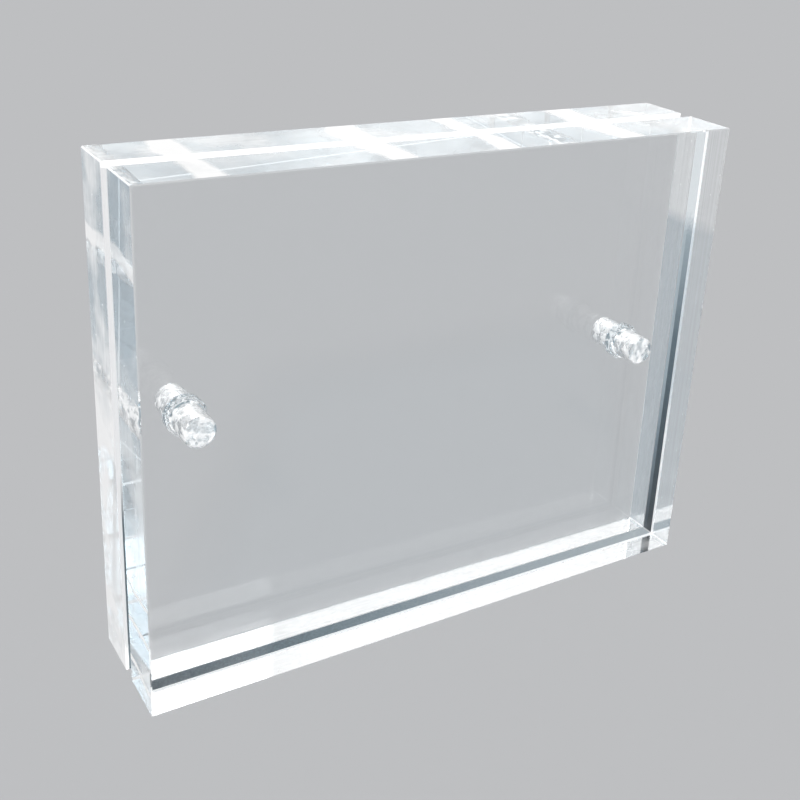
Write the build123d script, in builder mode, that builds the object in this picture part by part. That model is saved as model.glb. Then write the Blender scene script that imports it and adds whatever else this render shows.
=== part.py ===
from build123d import *
import os

os.makedirs("parts", exist_ok=True)

# A clear acrylic block frame. Two thick polished blocks stand face to face with a
# narrow gap for a photo between them. Two clear pegs join the blocks: each peg has
# a shank at both ends, pushed into a blind hole in either block, and a collar in
# the middle that keeps the blocks apart and so makes the gap.
# X runs to the right, Y to the back and Z up. The origin is under the middle of
# the frame, on the surface that it stands on. Lengths are in millimetres.

# Blocks, sawn from cast sheet and polished
block_width = 127.0
block_height = 101.6
block_thickness = 12.0
outer_edge_break = 0.25

# Bevels around the two gap faces. The rear block's is wider: it guides a photo in.
rear_gap_bevel = 0.9
front_gap_bevel = 0.4

# Pegs, turned from clear rod
shank_diameter = 6.0
shank_tip_radius = 1.2
collar_diameter = 7.8
collar_thickness = 2.2
collar_rim_break = 0.35
centre_mark_radius = 0.4

# Blind holes: what is left of the block beyond each one, and its finish
hole_floor = 1.5
hole_floor_radius = 0.5
mouth_break = 0.25

# Clearances: around a shank, beyond its tip, and beside the collar
shank_clearance = 0.05
tip_clearance = 0.2
collar_clearance = 0.025

# Places of the pegs. They aren't alike, so the blocks go together one way.
left_peg_from_side = 10.8
left_peg_above_middle = 5.4
right_peg_from_side = 16.3
right_peg_above_middle = 2.7

# Derived sizes
gap = collar_thickness + 2 * collar_clearance
hole_radius = shank_diameter / 2 + shank_clearance
hole_depth = block_thickness - hole_floor
shank_length = hole_depth + collar_clearance - tip_clearance
peg_length = collar_thickness + 2 * shank_length
peg_places = {
    "left_peg": (left_peg_from_side - block_width / 2, block_height / 2 + left_peg_above_middle),
    "right_peg": (block_width / 2 - right_peg_from_side, block_height / 2 + right_peg_above_middle),
}
gap_bevels = {"rear_block": rear_gap_bevel, "front_block": front_gap_bevel}

# Blocks: each one is modelled in the rear block's place, where its gap face looks
# forward and its holes go back from there. The front one is then mirrored in the gap.
rear_gap_face = Plane.XZ.offset(-gap / 2)
for block_name, gap_bevel in gap_bevels.items():
    with BuildPart() as block:
        with BuildSketch(rear_gap_face):
            Rectangle(block_width, block_height, align=(Align.CENTER, Align.MIN))
        extrude(amount=-block_thickness)
        chamfer(block.faces().sort_by(Axis.Y)[0].edges(), gap_bevel)
        chamfer(block.faces().sort_by(Axis.Y)[-1].edges(), outer_edge_break)
        with BuildSketch(rear_gap_face) as broken_corners:
            Rectangle(block_width, block_height, align=(Align.CENTER, Align.MIN))
            chamfer(broken_corners.vertices(), outer_edge_break)
        extrude(amount=-block_thickness, mode=Mode.INTERSECT)
        with Locations(rear_gap_face):
            with Locations(list(peg_places.values())):
                CounterSinkHole(
                    radius=hole_radius,
                    counter_sink_radius=hole_radius + mouth_break,
                    depth=hole_depth,
                    counter_sink_angle=90,
                )
        hole_floor_edges = block.edges().filter_by(GeomType.CIRCLE).group_by(Axis.Y)[-1]
        fillet(hole_floor_edges, hole_floor_radius)
        if block_name == "front_block":
            mirror(about=Plane.XZ, mode=Mode.REPLACE)

    block.part.label = block_name
    export_step(block.part, f"parts/{block_name}.step")

# Pegs: one half section, turned about the peg's own axis
for peg_name, (peg_x, peg_z) in peg_places.items():
    with BuildPart() as peg:
        with BuildSketch(Plane((peg_x, 0, peg_z))) as half_section:
            Rectangle(shank_diameter / 2, peg_length, align=(Align.MIN, Align.CENTER))
            tip_corners = half_section.vertices().group_by(Axis.X)[-1]
            fillet(tip_corners, shank_tip_radius)
            Rectangle(collar_diameter / 2, collar_thickness, align=(Align.MIN, Align.CENTER))
            rim_corners = half_section.vertices().group_by(Axis.X)[-1]
            chamfer(rim_corners, collar_rim_break)
            with Locations((0, peg_length / 2), (0, -peg_length / 2)):
                RegularPolygon(centre_mark_radius, side_count=4, mode=Mode.SUBTRACT)
        revolve(axis=Axis((peg_x, 0, peg_z), (0, 1, 0)))

    peg.part.label = peg_name
    export_step(peg.part, f"parts/{peg_name}.step")
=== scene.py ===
"""A clear acrylic block frame, dressed and lit for a studio picture.

Two thick clear blocks stand face to face with a narrow gap between them, and two clear double-ended pegs join
them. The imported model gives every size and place. This script makes smooth, closed meshes of the same blocks
and pegs, gives them the finishes of the real acrylic, and sets up the floor, the light and the camera.
"""

import logging
import math
from collections.abc import Callable, Sequence
from dataclasses import dataclass, field
from enum import Enum
from functools import partial

import bmesh
import bpy
import numpy as np
from mathutils import Matrix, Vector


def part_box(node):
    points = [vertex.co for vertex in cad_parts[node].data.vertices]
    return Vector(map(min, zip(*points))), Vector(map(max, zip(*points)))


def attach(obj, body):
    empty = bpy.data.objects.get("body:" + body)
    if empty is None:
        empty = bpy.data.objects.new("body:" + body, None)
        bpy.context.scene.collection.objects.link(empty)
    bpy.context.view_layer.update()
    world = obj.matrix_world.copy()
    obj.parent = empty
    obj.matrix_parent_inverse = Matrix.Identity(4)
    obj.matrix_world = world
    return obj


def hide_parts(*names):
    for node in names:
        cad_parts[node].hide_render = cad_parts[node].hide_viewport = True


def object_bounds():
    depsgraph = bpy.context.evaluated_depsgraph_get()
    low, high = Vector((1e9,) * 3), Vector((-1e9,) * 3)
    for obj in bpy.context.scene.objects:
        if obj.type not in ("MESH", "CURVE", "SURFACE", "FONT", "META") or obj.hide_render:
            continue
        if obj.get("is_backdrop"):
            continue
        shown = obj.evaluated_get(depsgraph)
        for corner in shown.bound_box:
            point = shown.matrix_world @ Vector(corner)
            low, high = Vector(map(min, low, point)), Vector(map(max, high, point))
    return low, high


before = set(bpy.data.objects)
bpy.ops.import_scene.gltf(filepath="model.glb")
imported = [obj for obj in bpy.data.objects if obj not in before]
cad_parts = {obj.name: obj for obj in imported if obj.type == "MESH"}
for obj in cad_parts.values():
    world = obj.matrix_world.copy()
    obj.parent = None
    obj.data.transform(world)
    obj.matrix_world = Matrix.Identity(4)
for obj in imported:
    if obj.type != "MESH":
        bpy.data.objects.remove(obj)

log = logging.getLogger("block_frame")
MM = 0.001
PER_MM = 1000.0
WORKED = "worked"

Pair = tuple[float, float]
Triple = tuple[float, float, float]
Add = Callable[..., bpy.types.Node]  # add_node with its tree given
Source = bpy.types.Node | bpy.types.NodeSocket  # a node stands for its first output
RANGE = ("From Min", "From Max", "To Min", "To Max")  # what a Map Range node turns into what


def linear(hex_colour: str) -> tuple[float, float, float, float]:
    """Turns an sRGB hex colour into linear red, green, blue and an alpha of 1.

    Args:
        hex_colour: Six hex digits, such as "c8d0d4".

    Returns:
        Four floats. Each channel c is c / 12.92 below 0.04045, and else ((c + 0.055) / 1.055) ** 2.4.
    """
    srgb = np.array([int(hex_colour[i : i + 2], 16) / 255 for i in (0, 2, 4)])
    lin = np.where(srgb <= 0.04045, srgb / 12.92, ((srgb + 0.055) / 1.055) ** 2.4)
    return (*lin.tolist(), 1.0)


def add_node(tree: bpy.types.NodeTree, kind: str, values: dict | None = None) -> bpy.types.Node:
    """Adds one node with its settings and links.

    Args:
        tree: The node tree that takes the node.
        kind: The node's type name, without the ShaderNode in front.
        values: What goes into each property, by its name, and into each input socket, by its name or number.
            An output socket is linked, a node stands for its first output, and anything else is set.

    Returns:
        The new node.
    """
    node = tree.nodes.new(f"ShaderNode{kind}")
    for name, value in (values or {}).items():
        source = value.outputs[0] if isinstance(value, bpy.types.Node) else value
        if isinstance(source, bpy.types.NodeSocket):
            tree.links.new(source, node.inputs[name])
        elif isinstance(name, str) and hasattr(node, name):
            setattr(node, name, source)
        else:
            node.inputs[name].default_value = source
    return node


def blank_material(name: str) -> tuple[bpy.types.Material, Add]:
    """Makes a material without nodes.

    Args:
        name: The material's name.

    Returns:
        The material, and what adds a node to it.
    """
    mat = bpy.data.materials.new(name)
    mat.use_nodes = True
    mat.node_tree.nodes.clear()
    return mat, partial(add_node, mat.node_tree)


def lets_light_by(add: Add, shader: Source, share: Source | float) -> Source:
    """Lets the studio's light through a clear piece, which a refracting shader alone would stop.

    Args:
        add: Adds a node to the material.
        shader: The clear shader, which every ray from the camera meets.
        share: How much of the light on its way to another surface goes straight through.

    Returns:
        The mixed shader.
    """
    path = add("LightPath").outputs
    lit = add("Math", {"operation": "MAXIMUM", 0: path["Is Shadow Ray"], 1: path["Is Diffuse Ray"]})
    through = add("Math", {"operation": "MULTIPLY", 0: lit, 1: share})
    return add("MixShader", {0: through, 1: shader, 2: add("BsdfTransparent")})


class Worked(Enum):
    """How each face of a piece was worked. The values go into the mesh's attribute of that name."""

    CAST = 0  # cast against plate glass
    EDGE = 1  # sawn, then diamond polished
    ARRIS = 2  # the outer corners, broken and polished
    CORNER = 3  # the corners between two edges, scraped
    BEVEL = 4  # the bevel round the gap face, scraped and left frosted
    BORE = 5  # drilled
    FLOOR = 6  # the flat end of a drilled hole, milled
    TURNED = 7  # turned on a lathe


class Side(Enum):
    """A side of the block, as the axis across it, the axis along it and which end of the first it is at."""

    TOP = ("Z", "X", 1)
    LEFT = ("X", "Z", -1)
    RIGHT = ("X", "Z", 1)
    BOTTOM = ("Z", "X", -1)

    def __init__(self, across: str, along: str, end: int) -> None:
        """Gives the three parts of the value their names."""
        self.across, self.along, self.end = across, along, end


@dataclass(frozen=True)
class HighlightMark:
    """A painted highlight: a white smear of haze right across an edge, standing in for a reflected light.

    One that is wider than the edge is long is an even haze, and a narrow one is a fine line.
    """

    side: Side
    place_mm: float
    half_width_mm: float
    strength: float = 0.8


@dataclass(frozen=True)
class CastAcrylic:
    """Cast acrylic sheet with polished edges.

    The broad faces are water clear. A clear bar pipes light along its length, so the edges look bright, and
    the polishing wheel leaves soft patches of haze, with fine streaks along them. A few white smears across
    the edges are painted highlights, and the slate grey on the right side and in the holes and the dark line
    low in the left seam are painted shade. The bevel round the gap is frosted and reads as a white line. Over
    a hand's width the light takes a cool grey tint.

    Each haze and each frost is the share of the light that the surface scatters. The streaks and the dents in
    the drilled walls are drawn coarser than real ones, so that they show. A pair of heights or of noise
    levels says where something has its first amount and where its last, with a steady change between them.
    """

    name: str
    half_width_mm: float
    height_mm: float
    side_depth_mm: float = 1.0
    ior: float = 1.49
    tint: str = "d4ecf7"
    tint_per_metre: float = 3.5
    edge_light_share: float = 0.97

    edge_haze: float = 0.04
    patch_haze: float = 0.35
    patch_noise: Pair = (0.42, 0.66)  # from edge_haze alone to all of patch_haze
    patch_size_mm: Triple = (14.0, 14.0, 14.0)
    streak_share: float = 0.15
    streak_noise: Pair = (0.3, 0.7)  # from the least to the most streaked
    streak_size_mm: Triple = (50.0, 0.6, 50.0)
    ripple_height_mm: float = 0.0005
    speck_haze: float = 0.5
    speck_spacing_mm: float = 3.0
    speck_radius_mm: float = 0.16
    mark_wander_mm: float = 6.0
    # Painted highlights across the top and left edges, where reflected lights fall.
    highlight_marks: tuple[HighlightMark, ...] = (
        HighlightMark(Side.TOP, -50.0, 3.5),
        HighlightMark(Side.TOP, -15.0, 4.0),
        HighlightMark(Side.TOP, 8.0, 3.0),
        HighlightMark(Side.TOP, 37.0, 4.5),
        HighlightMark(Side.LEFT, 87.0, 2.0, 0.5),
    )

    # Painted shade: the right side's haze is slate grey, darker towards the bottom.
    right_haze: float = 0.2
    right_shade_colour: str = "9db0ba"
    right_shade_mm: Pair = (80.5, 77.5)  # from white to right_shade_colour
    right_bevel_shade: float = 0.5
    right_bevel_shade_mm: Pair = (30.0, 38.0)  # the same on the bevel, up to right_bevel_shade

    frost_roughness: float = 0.3
    arris_frost: float = 0.1
    corner_frost: float = 0.8
    side_bevel_frost: float = 0.35
    top_bevel_frost: float = 0.9
    low_bevel_frost: float = 0.6
    # Painted shade: the gap's shadow as a dark line low on the left bevels.
    seam_shade_colour: str = "46545c"
    seam_half_width_mm: float = 1.5
    seam_shade_mm: Pair = (44.0, 34.0)  # from white to seam_shade_colour

    bore_frost: Pair = (0.04, 0.8)
    bore_floor_share: float = 0.7
    bore_torn_noise: Pair = (0.45, 0.52)  # from the first to the last of bore_frost
    # Painted shade: slate grey on the clear patches of the drilled walls.
    bore_shade_colour: str = "6e828d"
    bore_dent_mm: float = 0.5
    bore_dent_size_mm: Triple = (1.6, 2.4, 1.6)

    def region(self, add: Add, worked: Worked) -> Source:
        """Is 1 on faces worked this way and 0 elsewhere."""
        read = add("Attribute", {"attribute_name": WORKED}).outputs["Fac"]
        return add("Math", {"operation": "COMPARE", 0: read, 1: float(worked.value), 2: 0.5})

    def by_region(self, add: Add, shares: dict[Worked, float]) -> Source | float:
        """Tells the ways of working apart.

        Args:
            add: Adds a node to the material.
            shares: An amount for each way of working.

        Returns:
            The amount on faces worked that way, and 0 on all other faces.
        """
        total = 0.0
        for worked, amount in shares.items():
            there = self.region(add, worked)
            total = add("Math", {"operation": "MULTIPLY_ADD", 0: there, 1: amount, 2: total})
        return total

    def axes(self, add: Add) -> dict[str, Source]:
        """The place's X, Y and Z in metres."""
        split = add("SeparateXYZ", {0: add("TexCoord").outputs["Object"]})
        return {name: split.outputs[name] for name in "XYZ"}

    def at_side(self, add: Add, side: Side) -> Source:
        """Tells one side of the block from the rest.

        Args:
            add: Adds a node to the material.
            side: The side.

        Returns:
            1 within side_depth of the side, and 0 elsewhere.
        """
        face_mm = {"X": side.end * self.half_width_mm, "Z": max(side.end, 0) * self.height_mm}[side.across]
        limit = (face_mm - side.end * self.side_depth_mm) * MM
        compare = "GREATER_THAN" if side.end > 0 else "LESS_THAN"
        return add("Math", {"operation": compare, 0: self.axes(add)[side.across], 1: limit})

    def blots(self, add: Add, size_mm: Triple, detail: float) -> Source:
        """Soft blots of one size. Those that are long along some axes are streaks.

        Args:
            add: Adds a node to the material.
            size_mm: Their size along X, Y and Z.
            detail: How many times they are broken up into finer ones.

        Returns:
            The noise, around 0.5.
        """
        place = add("TexCoord").outputs["Object"]
        drawn = add("Mapping", {"Vector": place, "Scale": [PER_MM / mm for mm in size_mm]})
        return add("TexNoise", {"Vector": drawn, "Scale": 1.0, "Detail": detail})

    def torn(self, add: Add) -> Source:
        """The blots of the drilled walls."""
        return self.blots(add, self.bore_dent_size_mm, 2.0)

    def painted_highlights(self, add: Add, wander: Source) -> Source | float:
        """The painted highlights across the edges: whole within half of a mark's half width, and fading to 0
        at all of it.

        Args:
            add: Adds a node to the material.
            wander: Noise that moves them to and fro along the edge, by up to half of mark_wander.

        Returns:
            The haze that they add.
        """
        reach = self.mark_wander_mm * MM
        shift = add("Math", {"operation": "MULTIPLY_ADD", 0: wander, 1: reach, 2: -reach / 2})
        total = 0.0
        for mark in self.highlight_marks:
            along = self.axes(add)[mark.side.along]
            moved = add("Math", {"operation": "ADD", 0: along, 1: shift})
            off = add("Math", {"operation": "SUBTRACT", 0: moved, 1: mark.place_mm * MM})
            away = add("Math", {"operation": "ABSOLUTE", 0: off})
            half = mark.half_width_mm * MM
            limits = dict(zip(RANGE, (half, half / 2, 0.0, mark.strength)))
            fade = add("MapRange", {"interpolation_type": "SMOOTHSTEP", "Value": away} | limits)
            there = self.at_side(add, mark.side)
            total = add("Math", {"operation": "MULTIPLY_ADD", 0: fade, 1: there, 2: total})
        return total

    def specks(self, add: Add) -> Source:
        """Grains of dust, one at a random place in each cell of speck_spacing.

        Args:
            add: Adds a node to the material.

        Returns:
            The haze that they add.
        """
        place = add("TexCoord").outputs["Object"]
        away = add("TexVoronoi", {"Vector": place, "Scale": PER_MM / self.speck_spacing_mm})
        radius = self.speck_radius_mm / self.speck_spacing_mm
        near = add("Math", {"operation": "LESS_THAN", 0: away.outputs["Distance"], 1: radius})
        return add("Math", {"operation": "MULTIPLY", 0: near, 1: self.speck_haze})

    def haze(self, add: Add, streak: Source) -> Source:
        """The haze of the polished edges: a little, more in patches, and most in the painted highlights.

        The right side has an even haze of its own, along the streaks, in place of the patches and the marks.

        Args:
            add: Adds a node to the material.
            streak: The streaks' noise.

        Returns:
            The share of the light that an edge scatters, and 0 on all other faces.
        """
        noise = self.blots(add, self.patch_size_mm, 3.0)
        limits = dict(zip(RANGE, (*self.patch_noise, self.edge_haze, self.edge_haze + self.patch_haze)))
        patchy = add("MapRange", {"interpolation_type": "SMOOTHSTEP", "Value": noise} | limits)
        limits = dict(zip(RANGE, (*self.streak_noise, 1.0 - self.streak_share, 1.0 + self.streak_share)))
        lined = add("MapRange", {"Value": streak} | limits)
        marked = {"operation": "MULTIPLY_ADD", 0: patchy, 1: lined, 2: self.painted_highlights(add, noise)}
        own = {"operation": "MULTIPLY_ADD", 0: streak, 1: self.right_haze, 2: self.right_haze / 2}
        sides = {2: add("Math", marked), 3: add("Math", own)}
        mixed = add("Mix", {"data_type": "FLOAT", 0: self.at_side(add, Side.RIGHT)} | sides)
        dusty = add("Math", {"operation": "ADD", 0: mixed, 1: self.specks(add)})
        return add("Math", {"operation": "MULTIPLY", 0: dusty, 1: self.region(add, Worked.EDGE)})

    def frost(self, add: Add, streak: Source) -> Source:
        """The edges' haze, and the frost of the bevels, corners and bores.

        Args:
            add: Adds a node to the material.
            streak: The streaks' noise.

        Returns:
            The share of the light that each face scatters.
        """
        side, low = self.side_bevel_frost, self.low_bevel_frost
        shares = {Worked.BEVEL: side, Worked.CORNER: self.corner_frost, Worked.ARRIS: self.arris_frost}
        total = self.by_region(add, shares)
        others = {Side.TOP: self.top_bevel_frost - side, Side.RIGHT: low - side, Side.BOTTOM: low - side}
        for place, more in others.items():
            bevel = self.region(add, Worked.BEVEL)
            there = add("Math", {"operation": "MULTIPLY", 0: self.at_side(add, place), 1: bevel})
            total = add("Math", {"operation": "MULTIPLY_ADD", 0: there, 1: more, 2: total})
        limits = dict(zip(RANGE, (*self.bore_torn_noise, *self.bore_frost)))
        torn = add("MapRange", {"Value": self.torn(add)} | limits)
        drilled = self.by_region(add, {Worked.BORE: 1.0, Worked.FLOOR: self.bore_floor_share})
        total = add("Math", {"operation": "MULTIPLY_ADD", 0: torn, 1: drilled, 2: total})
        return add("Math", {"operation": "ADD", 0: self.haze(add, streak), 1: total})

    def right_painted_shade(self, add: Add) -> Source:
        """Painted shade on the right side: slate grey on the edge below one height, and on the bevel above a
        lower one too.

        Args:
            add: Adds a node to the material.

        Returns:
            The share of right_shade_colour.
        """
        heights = []
        for pair in (self.right_shade_mm, self.right_bevel_shade_mm):
            limits = dict(zip(RANGE, (mm * MM for mm in pair)))
            heights.append(add("MapRange", {"Value": self.axes(add)["Z"]} | limits))
        edge = self.region(add, Worked.EDGE)
        bevel = self.by_region(add, {Worked.BEVEL: self.right_bevel_shade})
        tinted = add("Math", {"operation": "MULTIPLY_ADD", 0: bevel, 1: heights[1], 2: edge})
        below = add("Math", {"operation": "MULTIPLY", 0: tinted, 1: heights[0]})
        return add("Math", {"operation": "MULTIPLY", 0: below, 1: self.at_side(add, Side.RIGHT)})

    def bore_painted_shade(self, add: Add) -> Source:
        """Painted shade: slate grey on the drilled walls where they have the first of bore_frost, for the dark
        facets seen in the pegs.

        Args:
            add: Adds a node to the material.

        Returns:
            The share of bore_shade_colour.
        """
        limits = dict(zip(RANGE, self.bore_torn_noise[::-1]))
        clean = add("MapRange", {"Value": self.torn(add)} | limits)
        return add("Math", {"operation": "MULTIPLY", 0: self.region(add, Worked.BORE), 1: clean})

    def seam_painted_shade(self, add: Add) -> Source:
        """Painted shade: a dark line low on the left bevels, on the strip beside the gap, where the gap's
        shadow falls.

        Args:
            add: Adds a node to the material.

        Returns:
            The share of seam_shade_colour.
        """
        limits = dict(zip(RANGE, (mm * MM for mm in self.seam_shade_mm)))
        axes = self.axes(add)
        off = add("Math", {"operation": "ABSOLUTE", 0: axes["Y"]})
        product = add("Math", {"operation": "LESS_THAN", 0: off, 1: self.seam_half_width_mm * MM})
        factors = (
            add("MapRange", {"Value": axes["Z"]} | limits),
            self.region(add, Worked.BEVEL),
            self.at_side(add, Side.LEFT),
        )
        for factor in factors:
            product = add("Math", {"operation": "MULTIPLY", 0: product, 1: factor})
        return product

    def haze_colour(self, add: Add) -> Source:
        """White, with painted shade: slate grey on the right side and in the holes, and dark in the left seam.

        Args:
            add: Adds a node to the material.

        Returns:
            The colour of the scattered light.
        """
        tints = (
            (self.right_painted_shade(add), self.right_shade_colour),
            (self.bore_painted_shade(add), self.bore_shade_colour),
            (self.seam_painted_shade(add), self.seam_shade_colour),
        )
        colour = linear("ffffff")
        for share, tint in tints:
            values = {"data_type": "RGBA", 0: share, 6: colour, 7: linear(tint)}
            colour = add("Mix", values).outputs[2]
        return colour

    def relief(self, add: Add, streak: Source) -> Source:
        """The ripple of the streaks on the edges, and the dents in the drilled walls.

        Args:
            add: Adds a node to the material.
            streak: The streaks' noise.

        Returns:
            The surface's normal.
        """
        drilled = self.by_region(add, {Worked.BORE: 1.0, Worked.FLOOR: 1.0})
        reliefs = (
            (streak, self.region(add, Worked.EDGE), self.ripple_height_mm),
            (self.torn(add), drilled, self.bore_dent_mm),
        )
        below = {}
        for noise, where, height_mm in reliefs:
            height = add("Math", {"operation": "MULTIPLY", 0: noise, 1: where})
            bump = {"Height": height, "Strength": 1.0, "Distance": height_mm * MM}
            below = {"Normal": add("Bump", bump | below)}
        return below["Normal"]

    def material(self) -> bpy.types.Material:
        """Builds the material.

        Returns:
            The material. Its transmission is what the haze and the frost leave.
        """
        mat, add = blank_material(self.name)
        streak = self.blots(add, self.streak_size_mm, 3.0)
        left = {"operation": "SUBTRACT", "use_clamp": True, 0: 1.0, 1: self.frost(add, streak)}
        frosted = (Worked.BEVEL, Worked.CORNER, Worked.BORE, Worked.FLOOR)
        values = {
            "Base Color": self.haze_colour(add),
            "IOR": self.ior,
            "Roughness": self.by_region(add, {worked: self.frost_roughness for worked in frosted}),
            "Transmission Weight": add("Math", left),
            "Normal": self.relief(add, streak),
        }
        acrylic = add("BsdfPrincipled", values)
        outside = (Worked.EDGE, Worked.ARRIS, Worked.CORNER, Worked.BEVEL)
        shares = {worked: self.edge_light_share for worked in outside}
        shares |= {worked: 1.0 for worked in (Worked.CAST, Worked.BORE, Worked.FLOOR)}
        surface = lets_light_by(add, acrylic, self.by_region(add, shares))
        inside = add("VolumeAbsorption", {"Color": linear(self.tint), "Density": self.tint_per_metre})
        add("OutputMaterial", {"Surface": surface, "Volume": inside})
        return mat


@dataclass(frozen=True)
class TurnedAcrylic:
    """Cast acrylic rod, turned to shape and flame polished.

    It is clear and wavy, with rings round it from the tool. They are drawn wider apart than real ones, so
    that they show.
    """

    name: str = "acrylic rod, turned"
    ior: float = 1.49
    ring_pitch_mm: float = 1.571
    ring_height_mm: float = 0.002
    wave_size_mm: float = 1.6
    wave_height_mm: float = 0.5
    haze: float = 0.03
    roughness: float = 0.03
    tint: str = "dae5ea"
    tint_per_metre: float = 25.0

    def material(self) -> bpy.types.Material:
        """Builds the material. A wave texture of scale 1 repeats after 2 pi / 20 of a metre.

        Returns:
            The material.
        """
        mat, add = blank_material(self.name)
        place = add("TexCoord").outputs["Object"]
        scale = 2 * math.pi / 20 * PER_MM / self.ring_pitch_mm
        bands = {"wave_type": "BANDS", "bands_direction": "Y", "Scale": scale, "Distortion": 1.0}
        rings = add("TexWave", bands | {"Vector": place}).outputs["Fac"]
        ringed = {"Height": rings, "Strength": 1.0, "Distance": self.ring_height_mm * MM}
        noise = add("TexNoise", {"Vector": place, "Scale": PER_MM / self.wave_size_mm, "Detail": 1.0})
        waved = {"Height": noise, "Strength": 1.0, "Distance": self.wave_height_mm * MM}
        clear = {"Value": rings, "To Min": 1.0 - self.haze, "To Max": 1.0 - self.haze / 2}
        values = {
            "Base Color": linear("ffffff"),
            "IOR": self.ior,
            "Roughness": self.roughness,
            "Transmission Weight": add("MapRange", clear),
            "Normal": add("Bump", waved | {"Normal": add("Bump", ringed)}),
        }
        acrylic = add("BsdfPrincipled", values)
        surface = lets_light_by(add, acrylic, 1.0)
        inside = add("VolumeAbsorption", {"Color": linear(self.tint), "Density": self.tint_per_metre})
        add("OutputMaterial", {"Surface": surface, "Volume": inside})
        return mat


@dataclass(frozen=True)
class SeamlessPaper:
    """Matt seamless background paper for the floor, in a plain pale grey."""

    name: str = "seamless paper"
    colour: str = "bebfc1"

    def material(self) -> bpy.types.Material:
        """Builds the material.

        Returns:
            The material.
        """
        mat, add = blank_material(self.name)
        paper = add("BsdfDiffuse", {"Color": linear(self.colour)})
        add("OutputMaterial", {"Surface": paper})
        return mat


@dataclass
class Shell:
    """Gathers patches of surface and joins them into one closed mesh."""

    patches: list[tuple[np.ndarray, np.ndarray, Worked]] = field(default_factory=list)
    merged_m: float = 1e-7
    sliver_m: float = 1e-8
    sharp_deg: float = 30.0

    def add_grid(
        self, points: np.ndarray, worked: Worked, ring: bool = False, keep: np.ndarray | None = None
    ) -> None:
        """Adds a patch as a grid of points.

        Args:
            points: Places in metres, of shape (rows, columns, 3).
            worked: How its faces were worked.
            ring: Joins the last column to the first.
            keep: Which cells to make, of the grid's shape less its last row and column, or None for all.
        """
        rows, columns = points.shape[:2]
        number = np.arange(rows * columns).reshape(rows, columns)
        if ring:
            number = np.concatenate([number, number[:, :1]], 1)
        quads = np.stack([number[:-1, :-1], number[:-1, 1:], number[1:, 1:], number[1:, :-1]], -1)
        chosen = quads.reshape(-1, 4) if keep is None else quads[keep]
        self.patches.append((points.reshape(-1, 3), chosen, worked))

    def build(self, name: str, material: bpy.types.Material) -> bpy.types.Object:
        """Joins the patches, closes their seams and poles, and points every face outwards.

        Args:
            name: The piece's name.
            material: Its finish.

        Returns:
            The piece, with its object at the origin.
        """
        firsts = np.cumsum([0] + [len(points) for points, _, _ in self.patches[:-1]])
        points = np.concatenate([points for points, _, _ in self.patches])
        quads = np.concatenate([quads + first for first, (_, quads, _) in zip(firsts, self.patches)])
        worked = np.concatenate([np.full(len(quads), w.value, np.float32) for _, quads, w in self.patches])
        mesh = bpy.data.meshes.new(name)
        mesh.vertices.add(len(points))
        mesh.vertices.foreach_set("co", points.ravel())
        mesh.loops.add(quads.size)
        mesh.loops.foreach_set("vertex_index", quads.ravel())
        mesh.polygons.add(len(quads))
        mesh.polygons.foreach_set("loop_start", np.arange(0, quads.size, 4))
        mesh.update(calc_edges=True)
        mesh.attributes.new(WORKED, "FLOAT", "FACE").data.foreach_set("value", worked)
        shape = bmesh.new()
        shape.from_mesh(mesh)
        bmesh.ops.remove_doubles(shape, verts=shape.verts, dist=self.merged_m)
        bmesh.ops.dissolve_degenerate(shape, edges=shape.edges, dist=self.sliver_m)
        bmesh.ops.recalc_face_normals(shape, faces=shape.faces)
        loose = sum(not edge.is_manifold for edge in shape.edges)
        shape.to_mesh(mesh)
        shape.free()
        mesh.polygons.foreach_set("use_smooth", np.ones(len(mesh.polygons), bool))
        mesh.set_sharp_from_angle(angle=math.radians(self.sharp_deg))
        mesh.materials.append(material)
        piece = bpy.data.objects.new(name, mesh)
        bpy.context.scene.collection.objects.link(piece)
        log.info("%s: %d faces, %d open edges", name, len(mesh.polygons), loose)
        return piece


def four_sides(
    xs: np.ndarray, zs: np.ndarray, low: Sequence[float], high: Sequence[float]
) -> list[np.ndarray]:
    """Points on the four sides of a rectangle, in order round it from its lower left corner.

    Args:
        xs: The places of the points on its lower and upper sides.
        zs: The places of those on its right and left sides.
        low: The X and Z of its lower left corner.
        high: The X and Z of its upper right one.

    Returns:
        The X and Z of each side's points.
    """
    return [
        np.stack([xs, np.full_like(xs, low[1])], -1),
        np.stack([np.full_like(zs, high[0]), zs], -1),
        np.stack([xs[::-1], np.full_like(xs, high[1])], -1),
        np.stack([np.full_like(zs, low[0]), zs[::-1]], -1),
    ]


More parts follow.
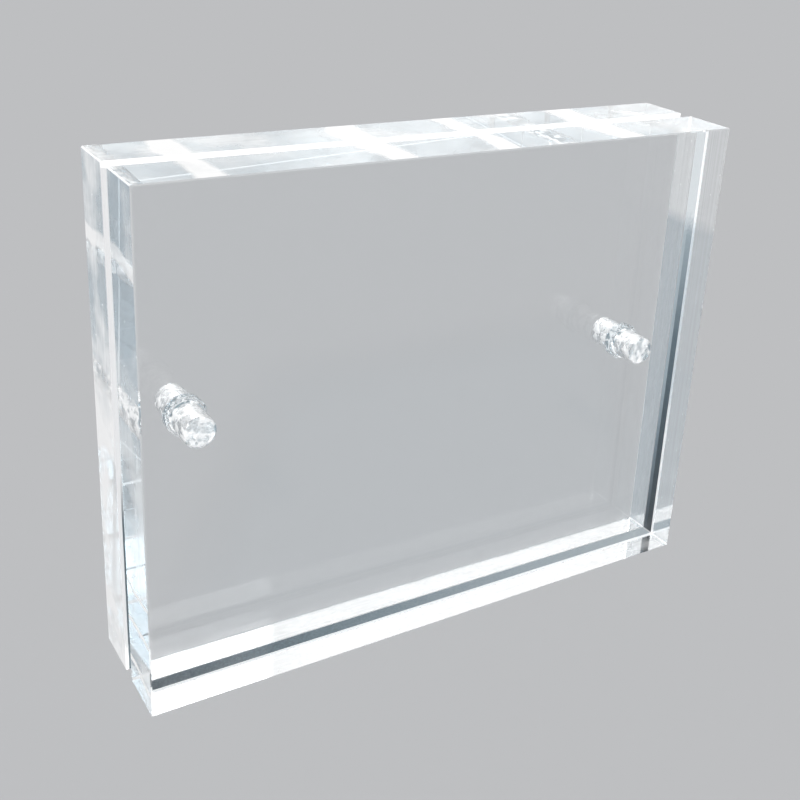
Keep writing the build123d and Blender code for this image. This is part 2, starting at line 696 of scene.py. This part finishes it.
@dataclass
class Block:
    """One clear block with its two blind peg holes."""

    node: str
    finish: CastAcrylic
    gap_bevel_mm: float
    peg_nodes: tuple[str, ...] = ("left_peg", "right_peg")
    corner_break_mm: float = 0.25
    mouth_break_mm: float = 0.25
    bore_radius_mm: float = 3.05
    bore_floor_mm: float = 1.5
    bore_floor_radius_mm: float = 0.5
    hole_patch_mm: float = 6.0
    fine_spacing_mm: float = 0.5
    wide_spacing_mm: float = 5.0
    rounding: float = 1.0001  # lets a grid line on the side of a hole's square count as part of it
    collar_rings: int = 6
    wall_rings: int = 8
    turn_rings: int = 7
    floor_rings: int = 5

    def __post_init__(self) -> None:
        """Takes the block's box and the pegs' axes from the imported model."""
        low, high = (np.array(corner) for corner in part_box(self.node))
        self.low, self.high = low, high
        self.gap_y, self.outer_y = sorted((low[1], high[1]), key=abs)
        boxes = [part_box(node) for node in self.peg_nodes]
        self.axes = [((a.x + b.x) / 2, (a.z + b.z) / 2) for a, b in boxes]
        self.inward = math.copysign(1.0, self.outer_y - self.gap_y)
        xs, zs = zip(*self.axes)
        self.lines = [self.grid_lines(low[0], high[0], xs), self.grid_lines(low[2], high[2], zs)]

    def grid_lines(self, low: float, high: float, centres: tuple[float, ...]) -> np.ndarray:
        """Grid lines from low to high, close together across each hole's square and wide apart between them.

        Args:
            low: The first line, in metres.
            high: The last line.
            centres: The holes' centres.

        Returns:
            The lines in order. Every side of a hole's square is one of them.
        """
        half = self.hole_patch_mm * MM
        stops = sorted([low, high, *(c + s for c in centres for s in (-half, half))])
        lines = []
        for start, end in zip(stops, stops[1:]):
            near = any(abs((start + end) / 2 - c) < half for c in centres)
            spacing = (self.fine_spacing_mm if near else self.wide_spacing_mm) * MM
            lines.append(np.linspace(start, end, max(1, round((end - start) / spacing)) + 1)[:-1])
        return np.concatenate([*lines, [high]])

    def trimmed(self, start_mm: float) -> list[np.ndarray]:
        """The X and the Z lines, with the first and last drawn in to a distance from the block's sides.

        Args:
            start_mm: The distance.

        Returns:
            The X lines and the Z lines, in metres.
        """
        start = start_mm * MM
        ends = [(self.low[i] + start, self.high[i] - start) for i in (0, 2)]
        return [np.concatenate([[a], lines[1:-1], [b]]) for lines, (a, b) in zip(self.lines, ends)]

    def broad_face(self, inset_mm: float, y: float) -> np.ndarray:
        """A flat face over the grid lines, as points of shape (x, z, 3)."""
        x, z = np.meshgrid(*self.trimmed(inset_mm), indexing="ij")
        return np.stack([x, np.full_like(x, y), z], -1)

    def clear_of_holes(self) -> np.ndarray:
        """Finds the cells of the grid that lie outside every hole's square.

        Returns:
            Whether each cell does.
        """
        x, z = np.meshgrid(*((lines[1:] + lines[:-1]) / 2 for lines in self.lines), indexing="ij")
        half = self.hole_patch_mm * MM
        inside = [np.maximum(abs(x - cx), abs(z - cz)) < half for cx, cz in self.axes]
        return ~np.any(inside, 0)

    def hole_square(self, axis: Pair) -> np.ndarray:
        """The grid's points round a hole's square.

        Args:
            axis: The X and Z of the hole's axis.

        Returns:
            Their distances from the axis, from the lower left corner on.
        """
        half = self.hole_patch_mm * MM
        xs, zs = (lines[abs(lines - c) < half * self.rounding] - c for lines, c in zip(self.lines, axis))
        return np.concatenate([side[:-1] for side in four_sides(xs, zs, (-half, -half), (half, half))])

    def hole_collar(self, axis: Pair) -> np.ndarray:
        """The flat ring round a hole, from its square along straight spokes in to the mouth's circle.

        Args:
            axis: The X and Z of the hole's axis.

        Returns:
            The points, of shape (rings, spokes, 3).
        """
        square = self.hole_square(axis)
        reach = np.hypot(*square.T)
        share = np.linspace(0, 1, self.collar_rings)[:, None]
        radius = reach * (1 - share) + (self.bore_radius_mm + self.mouth_break_mm) * MM * share
        return self.around(axis, radius, np.zeros_like(radius))

    def hole_profile(self) -> tuple[np.ndarray, np.ndarray]:
        """A hole's section: broken mouth, wall, the floor's quarter round and the flat floor.

        Returns:
            The radius and the depth of each ring down the hole, in metres.
        """
        bore, mouth = self.bore_radius_mm, self.mouth_break_mm
        depth = abs(self.outer_y - self.gap_y) / MM - self.bore_floor_mm
        round_off = self.bore_floor_radius_mm
        wall = np.linspace(mouth, depth - round_off, self.wall_rings)
        turn = np.linspace(0, math.pi / 2, self.turn_rings)[1:]
        floor = np.linspace(bore - round_off, 0, self.floor_rings)[1:]
        walls = np.full_like(wall, bore)
        radius = np.concatenate([[bore + mouth], walls, bore - round_off * (1 - np.cos(turn)), floor])
        floors = np.full_like(floor, depth)
        down = np.concatenate([[0], wall, depth - round_off * (1 - np.sin(turn)), floors])
        return radius * MM, down * MM

    def around(self, axis: Pair, radius: np.ndarray, depth: np.ndarray) -> np.ndarray:
        """Rings of points round a hole, on its square's spokes, at the angle of each spoke's z over its x.

        Args:
            axis: The X and Z of the hole's axis.
            radius: Each ring's distance from the axis.
            depth: Each ring's depth below the gap face.

        Returns:
            The points, of shape (rings, spokes, 3).
        """
        square = self.hole_square(axis)
        t = np.arctan2(square[:, 1], square[:, 0])
        radius = np.broadcast_to(radius, (len(radius), len(t)))
        y = self.gap_y + self.inward * np.broadcast_to(depth, radius.shape)
        return np.stack([axis[0] + radius * np.cos(t), y, axis[1] + radius * np.sin(t)], -1)

    def rim(self, depth_mm: float, inset_mm: float) -> np.ndarray:
        """A loop round the block.

        The upright corners are cut where the distances from the two sides add up to corner_break, so each
        side of the loop starts at whichever is more of the inset and corner_break less the inset.

        Args:
            depth_mm: Its depth below the gap face.
            inset_mm: How far it stands in from the block's sides.

        Returns:
            The points, in order round the block.
        """
        xs, zs = self.trimmed(max(inset_mm, self.corner_break_mm - inset_mm))
        low, high = self.low + inset_mm * MM, self.high - inset_mm * MM
        flat = np.concatenate(four_sides(xs, zs, low[[0, 2]], high[[0, 2]]))
        y = self.gap_y + self.inward * depth_mm * MM
        return np.stack([flat[:, 0], np.full(len(flat), y), flat[:, 1]], -1)

    def build(self) -> None:
        """Builds the block, in place of its CAD node."""
        shell = Shell()
        bevel, corner = self.gap_bevel_mm, self.corner_break_mm
        shell.add_grid(self.broad_face(corner, self.outer_y), Worked.CAST)
        shell.add_grid(self.broad_face(bevel, self.gap_y), Worked.CAST, keep=self.clear_of_holes())
        radius, depth = self.hole_profile()
        for axis in self.axes:
            shell.add_grid(self.hole_collar(axis), Worked.CAST, ring=True)
            hole = self.around(axis, radius[:, None], depth[:, None])
            turn = self.wall_rings + 1
            shell.add_grid(hole[: turn + 1], Worked.BORE, ring=True)
            shell.add_grid(hole[turn:], Worked.FLOOR, ring=True)
        thick, half = abs(self.outer_y - self.gap_y) / MM, corner / 2
        loops = [(0.0, bevel), (bevel - half, half), (bevel, 0.0)]
        loops += [(thick - corner, 0.0), (thick - half, half), (thick, corner)]
        rims = np.stack([self.rim(*loop) for loop in loops])
        side_ends = np.cumsum([len(lines) for lines in self.lines * 2]) - 1
        upright = np.isin(np.arange(rims.shape[1]), side_ends)[None]
        shell.add_grid(rims[:3], Worked.BEVEL, ring=True)
        shell.add_grid(rims[2:4], Worked.EDGE, ring=True, keep=~upright)
        shell.add_grid(rims[2:4], Worked.CORNER, ring=True, keep=upright)
        shell.add_grid(rims[3:], Worked.ARRIS, ring=True)
        piece = shell.build(f"{self.node}_acrylic", self.finish.material())
        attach(piece, self.node)
        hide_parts(self.node)


@dataclass
class Peg:
    """A double-ended peg: a shank at both ends and a collar in the middle."""

    node: str
    finish: TurnedAcrylic
    shank_radius_mm: float = 3.0
    tip_round_mm: float = 1.2
    collar_thickness_mm: float = 2.2
    rim_break_mm: float = 0.35
    centre_mark_mm: float = 0.4
    spokes: int = 96
    wall_rings: int = 10
    turn_rings: int = 13

    def __post_init__(self) -> None:
        """Takes the peg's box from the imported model."""
        self.low, self.high = (np.array(corner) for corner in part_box(self.node))

    def half_profile(self) -> np.ndarray:
        """The peg's section, from its middle out to one tip.

        The collar's rim is broken at 45 degrees, the tip's corner is a quarter round, and the centre mark is
        a cone.

        Returns:
            The distance along the peg and the radius of each ring, in millimetres.
        """
        length = (self.high[1] - self.low[1]) / MM / 2
        collar = (self.high[0] - self.low[0]) / MM / 2
        edge, rim, shank = self.collar_thickness_mm / 2, self.rim_break_mm, self.shank_radius_mm
        tip, mark = self.tip_round_mm, self.centre_mark_mm
        turn = np.linspace(0, math.pi / 2, self.turn_rings)
        middle = [(0.0, collar), (edge - rim, collar), (edge, collar - rim), (edge, shank)]
        wall = [(y, shank) for y in np.linspace(edge, length - tip, self.wall_rings)[1:-1]]
        round_off = list(zip(length - tip * (1 - np.sin(turn)), shank - tip * (1 - np.cos(turn))))
        return np.array([*middle, *wall, *round_off, (length, mark), (length - mark, 0.0)])

    def build(self) -> None:
        """Turns the profile about the peg's axis, in place of its CAD node."""
        half = self.half_profile()
        whole = np.concatenate([half[::-1] * (-1, 1), half[1:]]) * MM
        centre = (self.low + self.high) / 2
        t = np.arange(self.spokes) * (2 * math.pi / self.spokes)
        radius = whole[:, 1, None]
        y = np.broadcast_to(centre[1] + whole[:, 0, None], (len(whole), len(t)))
        points = np.stack([centre[0] + radius * np.cos(t), y, centre[2] + radius * np.sin(t)], -1)
        shell = Shell()
        shell.add_grid(points, Worked.TURNED, ring=True)
        piece = shell.build(f"{self.node}_acrylic", self.finish.material())
        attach(piece, self.node)
        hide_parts(self.node)


def flat_sheet(name: str, corners: np.ndarray, material: bpy.types.Material) -> bpy.types.Object:
    """Makes a flat sheet of four corners.

    Args:
        name: Its name.
        corners: Its corners in metres, in order round it.
        material: Its finish.

    Returns:
        The sheet, with its object at the origin.
    """
    mesh = bpy.data.meshes.new(name)
    mesh.from_pydata(corners.tolist(), [], [(0, 1, 2, 3)])
    mesh.materials.append(material)
    sheet = bpy.data.objects.new(name, mesh)
    bpy.context.scene.collection.objects.link(sheet)
    return sheet


@dataclass(frozen=True)
class PaintedShadeCard:
    """A dark grained card at an end of the gap. It is painted shade: the dark shade that the acrylic shows
    there.

    It shows only through acrylic that is within its reach, so it is gone when the blocks are apart, and it
    shades nothing. It lies between a corner and the one across from it, and its colours follow each other
    along one axis, each at a share of the card's length. Noise moves them to and fro by up to half of
    grain_share.
    """

    name: str
    corner_mm: Triple
    across_mm: Triple
    axis: str
    colours: tuple[tuple[float, str], ...]
    grain_share: float = 0.05
    grain_mm: float = 0.5
    reach_mm: float = 6.0

    def material(self) -> bpy.types.Material:
        """Builds the material: a colour ramp along the axis, with grain, and nothing at all beyond its reach.

        Returns:
            The material.
        """
        mat, add = blank_material(f"{self.name} card")
        place = add("TexCoord").outputs["Object"]
        along = add("SeparateXYZ", {0: place}).outputs[self.axis]
        ends = (corner["XYZ".index(self.axis)] * MM for corner in (self.corner_mm, self.across_mm))
        share = add("MapRange", {"Value": along} | dict(zip(RANGE, ends)))
        grain = add("TexNoise", {"Vector": place, "Scale": PER_MM / self.grain_mm, "Detail": 2.0})
        moved = {"operation": "MULTIPLY_ADD", 0: grain, 1: self.grain_share, 2: share}
        centred = {"operation": "SUBTRACT", 0: add("Math", moved), 1: self.grain_share / 2}
        ramp = add("ValToRGB", {"Fac": add("Math", centred)})
        stops = ramp.color_ramp.elements
        stops.remove(stops[1])
        for position, colour in self.colours:
            stop = stops[0] if position == 0 else stops.new(position)
            stop.color = linear(colour)
        card = add("BsdfDiffuse", {"Color": ramp})
        path = add("LightPath").outputs["Ray Length"]
        far = add("Math", {"operation": "GREATER_THAN", 0: path, 1: self.reach_mm * MM})
        shown = add("MixShader", {0: far, 1: card, 2: add("BsdfTransparent")})
        add("OutputMaterial", {"Surface": shown})
        return mat

    def build(self) -> None:
        """Puts the card in place. Its other corners are the first one, moved along Y and along its axis."""
        low, high = np.array(self.corner_mm), np.array(self.across_mm)
        step = (high - low) * [0, 1, 0]
        corners = np.array([low, low + step, high, high - step]) * MM
        card = flat_sheet(self.name, corners, self.material())
        card.visible_camera = False
        card.visible_diffuse = False
        card.visible_shadow = False
        card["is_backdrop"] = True


@dataclass(frozen=True)
class Panel:
    """A soft panel of the studio, as the acrylic shows it. A negative strength makes a dark one."""

    azimuth_deg: Pair
    elevation_deg: Pair
    strength: float
    fade_deg: float


@dataclass
class Studio:
    """The floor, the light and the camera's backdrop.

    The key and the dome together light the floor at a level of 1, at which its colour renders as written. Two
    dark cards of painted shade stand at the right end of the gap, the second beside the rear block's bevel,
    and one lies under the gap as painted contact shadow.
    """

    floor_size_m: float = 40.0
    floor_drop_mm: float = 0.2
    backdrop: str = "bebfc1"
    key_share: float = 0.72
    key_azimuth_deg: float = 33.6
    key_elevation_deg: float = 35.0
    key_angle_deg: float = 4.0
    white_from_deg: float = 5.0
    white_to_deg: float = 9.0
    panels: tuple[Panel, ...] = (
        Panel((27.0, 60.0), (11.5, 15.0), 0.4, 4.0),
        Panel((16.3, 24.0), (32.5, 50.0), 2.6, 0.5),
        Panel((27.0, 60.0), (26.0, 50.0), 0.1, 3.0),
        Panel((0.0, 16.0), (25.0, 50.0), 3.4, 0.5),
        Panel((16.5, 24.0), (19.0, 31.0), -0.7, 0.5),
        Panel((16.25, 24.0), (35.0, 50.0), -1.3, 0.5),
    )
    # Painted shade: dark cards for the shade at the gap's right end and on the floor under the gap.
    shade_cards: tuple[PaintedShadeCard, ...] = (
        PaintedShadeCard(
            "side_shade_card",
            (63.7, -1.1, 0.0),
            (63.7, 1.1, 101.0),
            "Z",
            ((0.0, "18262e"), (0.25, "2f3f48"), (0.5, "53656f"), (0.75, "9ba8b0"), (0.8, "e4e8ea")),
        ),
        PaintedShadeCard(
            "bevel_shade_card",
            (63.7, 1.1, 0.0),
            (63.7, 2.1, 101.0),
            "Z",
            ((0.0, "26353e"), (0.25, "70808a"), (0.4, "98a6ae"), (0.75, "b0bbc1"), (0.8, "e4e8ea")),
        ),
        PaintedShadeCard(
            "gap_floor_shade_card",
            (-63.4, -1.1, -0.1),
            (63.4, 2.1, -0.1),
            "X",
            ((0.0, "2c3b44"), (0.33, "65767f"), (0.67, "929da4"), (1.0, "a4adb2")),
            grain_share=0.4,
        ),
    )
    bounces: int = 40

    def floor(self) -> None:
        """Lays the floor just below the frame's own standing surface."""
        corners = np.array([(-1, -1, 0), (1, -1, 0), (1, 1, 0), (-1, 1, 0)]) * self.floor_size_m / 2
        floor = flat_sheet("floor", corners - [0, 0, self.floor_drop_mm * MM], SeamlessPaper().material())
        floor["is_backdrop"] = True

    def lobe(self, add: Add, angle: Source, span_deg: Pair, fade_deg: float) -> Source:
        """Picks out a span of an angle.

        Args:
            add: Adds a node to the world.
            angle: The angle, in radians.
            span_deg: The span.
            fade_deg: How far it fades beyond the span, on both sides.

        Returns:
            1 within the span, and 0 beyond its fading sides.
        """
        low, high, fade = (math.radians(a) for a in (*span_deg, fade_deg))
        sides = []
        for pair in ((low - fade, low), (high + fade, high)):
            smooth = {"interpolation_type": "SMOOTHSTEP", "Value": angle}
            sides.append(add("MapRange", smooth | dict(zip(RANGE, pair))))
        return add("Math", {"operation": "MULTIPLY", 0: sides[0], 1: sides[1]})

    def level(self, add: Add, azimuth: Source, elevation: Source) -> Source | float:
        """The brightness of the white studio.

        Args:
            add: Adds a node to the world.
            azimuth: The ray's angle to the right of straight ahead or straight behind, in radians.
            elevation: Its angle above the horizon.

        Returns:
            1, more in the bright panels and less in the dark ones.
        """
        level = 1.0
        for panel in self.panels:
            across = self.lobe(add, azimuth, panel.azimuth_deg, panel.fade_deg)
            upright = self.lobe(add, elevation, panel.elevation_deg, panel.fade_deg)
            both = add("Math", {"operation": "MULTIPLY", 0: across, 1: upright})
            level = add("Math", {"operation": "MULTIPLY_ADD", 0: both, 1: panel.strength, 2: level})
        return level

    def sky(self) -> None:
        """The dome that lights the scene, what the acrylic shows of it, and what the camera shows of it.

        The camera sees the backdrop's grey, so that a low view has a plain background. Reflected and
        refracted rays see that grey at the horizon too, and above it a white studio with brighter and darker
        soft panels at the right, the same behind as in front.
        """
        world = bpy.data.worlds.new("dome")
        world.use_nodes = True
        world.node_tree.nodes.clear()
        add = partial(add_node, world.node_tree)
        axes = add("SeparateXYZ", {0: add("TexCoord").outputs["Generated"]}).outputs
        depth = add("Math", {"operation": "ABSOLUTE", 0: axes["Y"]})
        azimuth = add("Math", {"operation": "ARCTAN2", 0: axes["X"], 1: depth})
        elevation = add("Math", {"operation": "ARCSINE", 0: axes["Z"]})
        limits = dict(zip(RANGE, (math.radians(self.white_from_deg), math.radians(self.white_to_deg))))
        above = add("MapRange", {"interpolation_type": "SMOOTHSTEP", "Value": elevation} | limits)
        ray = add("LightPath").outputs
        shown = add("Math", {"operation": "MAXIMUM", 0: ray["Is Glossy Ray"], 1: ray["Is Transmission Ray"]})
        level = self.level(add, azimuth, elevation)
        soft = add("Background", {"Color": linear("ffffff"), "Strength": 1.0 - self.key_share})
        white = add("Background", {"Color": linear("ffffff"), "Strength": level})
        plain = add("Background", {"Color": linear(self.backdrop)})
        studio = add("MixShader", {0: above, 1: plain, 2: white})
        lit = add("MixShader", {0: shown, 1: soft, 2: studio})
        seen = add("MixShader", {0: ray["Is Camera Ray"], 1: lit, 2: plain})
        add("OutputWorld", {"Surface": seen})
        bpy.context.scene.world = world

    def key(self) -> None:
        """A soft key from the left in front, so far away that it lights the whole floor alike.

        On level ground a sun of strength s gives s * sin(elevation) / pi of the light that a dome of 1 gives.
        """
        azimuth, elevation = math.radians(self.key_azimuth_deg), math.radians(self.key_elevation_deg)
        light = bpy.data.lights.new("key", "SUN")
        light.angle = math.radians(self.key_angle_deg)
        light.energy = self.key_share * math.pi / math.sin(elevation)
        lamp = bpy.data.objects.new("key", light)
        bpy.context.scene.collection.objects.link(lamp)
        ground = np.array([-math.sin(azimuth), -math.cos(azimuth), 0.0])
        back = math.cos(elevation) * ground + np.array([0.0, 0.0, math.sin(elevation)])
        side = np.cross((0.0, 0.0, 1.0), back)
        side = side / np.linalg.norm(side)
        lamp.matrix_world = Matrix(np.stack([side, np.cross(back, side), back], 1).tolist()).to_4x4()
        lamp.visible_glossy = False
        lamp.visible_transmission = False

    def build(self) -> None:
        """Sets the view, the light paths, the floor, the dome and the key."""
        scene = bpy.context.scene
        scene.view_settings.view_transform = "Standard"
        scene.cycles.max_bounces = self.bounces
        scene.cycles.glossy_bounces = self.bounces
        scene.cycles.transmission_bounces = self.bounces
        scene.cycles.transparent_max_bounces = self.bounces
        scene.cycles.blur_glossy = 0.0
        self.floor()
        for shade_card in self.shade_cards:
            shade_card.build()
        self.sky()
        self.key()


@dataclass
class PhotoCamera:
    """The photograph's camera, in the frame of the object."""

    place_mm: Triple = (-117.34, -184.85, 152.69)
    yaw_deg: float = 33.625
    pitch_deg: float = 21.785
    roll_deg: float = 3.748
    focal_px: float = 1175.4
    centre_px: Pair = (451.1, 315.9)
    frame_px: float = 800.0
    sensor_mm: float = 36.0

    def build(self) -> None:
        """Makes the camera and sets it as the scene's own."""
        data = bpy.data.cameras.new("camera")
        data.sensor_width = self.sensor_mm
        data.lens = self.focal_px / self.frame_px * self.sensor_mm
        data.shift_x = (self.frame_px / 2 - self.centre_px[0]) / self.frame_px
        data.shift_y = (self.centre_px[1] - self.frame_px / 2) / self.frame_px
        yaw, pitch, roll = (math.radians(a) for a in (self.yaw_deg, self.pitch_deg, self.roll_deg))
        ahead = np.array([math.sin(yaw), math.cos(yaw), 0.0])
        forward = math.cos(pitch) * ahead - math.sin(pitch) * np.array([0.0, 0.0, 1.0])
        level = np.array([math.cos(yaw), -math.sin(yaw), 0.0])
        upright = np.cross(level, forward)
        right = math.cos(roll) * level + math.sin(roll) * upright
        up = -math.sin(roll) * level + math.cos(roll) * upright
        camera = bpy.data.objects.new("camera", data)
        bpy.context.scene.collection.objects.link(camera)
        turn = Matrix(np.stack([right, up, -forward], 1).tolist()).to_4x4()
        camera.matrix_world = Matrix.Translation([p * MM for p in self.place_mm]) @ turn
        bpy.context.scene.camera = camera


def main() -> None:
    """Builds and dresses everything in order.

    The rear block's edges are hazier than the front one's. Its left side has an even haze, more of it low down
    and a smear in the middle. The front one's has a fainter even haze and three fine lines low down. These
    left-side hazes are painted light: the sides are made lighter, most of all low down, and the smear and the
    lines are painted highlights.
    """
    logging.basicConfig(level=logging.INFO, format="%(name)s: %(message)s")
    cad_low, cad_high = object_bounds()
    PhotoCamera().build()
    size_mm = (cad_high[0] / MM, cad_high[2] / MM)
    # Painted light on the left sides: an even haze, more of it low down, and painted highlights.
    rear_highlights = (
        *CastAcrylic.highlight_marks,
        HighlightMark(Side.LEFT, 50.0, 200.0, 0.14),
        HighlightMark(Side.LEFT, 0.0, 60.0, 0.42),
        HighlightMark(Side.LEFT, 52.0, 9.0, 0.5),
    )
    front_highlights = (
        *CastAcrylic.highlight_marks,
        HighlightMark(Side.LEFT, 50.0, 200.0, 0.08),
        *(HighlightMark(Side.LEFT, place, 0.7, 0.9) for place in (23.0, 14.5, 5.5)),
    )
    rear = CastAcrylic(
        "cast acrylic, rear", *size_mm, edge_haze=0.12, patch_haze=0.5, right_haze=0.35, highlight_marks=rear_highlights
    )
    # The front block's painted shade on its right side is a paler slate.
    front = CastAcrylic("cast acrylic, front", *size_mm, right_shade_colour="b0c0c9", highlight_marks=front_highlights)
    Block("rear_block", rear, gap_bevel_mm=0.9).build()
    Block("front_block", front, gap_bevel_mm=0.4).build()
    rod = TurnedAcrylic()
    for node in ("left_peg", "right_peg"):
        Peg(node, rod).build()
    Studio().build()


if __name__ == "__main__":
    main()
